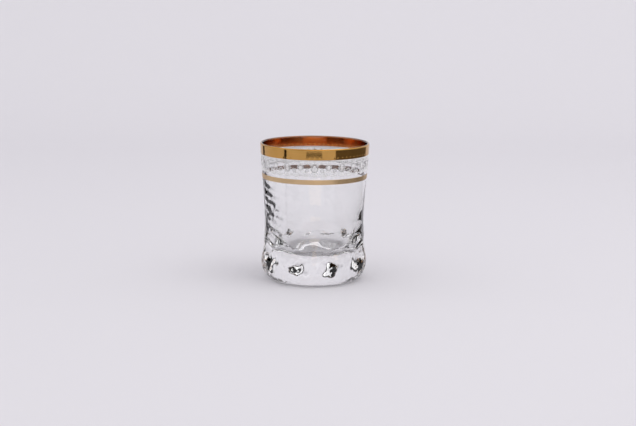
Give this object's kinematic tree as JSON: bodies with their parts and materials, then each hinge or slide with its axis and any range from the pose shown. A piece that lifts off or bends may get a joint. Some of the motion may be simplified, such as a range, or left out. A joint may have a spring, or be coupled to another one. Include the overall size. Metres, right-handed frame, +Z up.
{
  "type": "drinking glass",
  "caption": "Heavy-based clear whisky tumbler with a waisted wall, thumbprinted base, polished gold lip band, pale lace frieze and thin gold line",
  "frame": {"origin": "the centre of the foot, on the table plane", "axes": "+Z runs up the glass's axis from the foot to the lip; -Y faces the viewer of the picture; +X is to the viewer's right"},
  "size_m": [0.076, 0.076, 0.0957],
  "materials": {
    "clear_glass": "clear and fire-polished",
    "bright_gold": "fired gold, burnished bright",
    "lace_enamel": "fired white enamel, satin",
    "satin_gold": "fired gold, satin"
  },
  "bodies": {
    "root": {"glass_body": "clear_glass", "rim_gold_band": "bright_gold", "lace_frieze": "lace_enamel", "lower_gold_line": "satin_gold"}
  },
  "joints": []
}
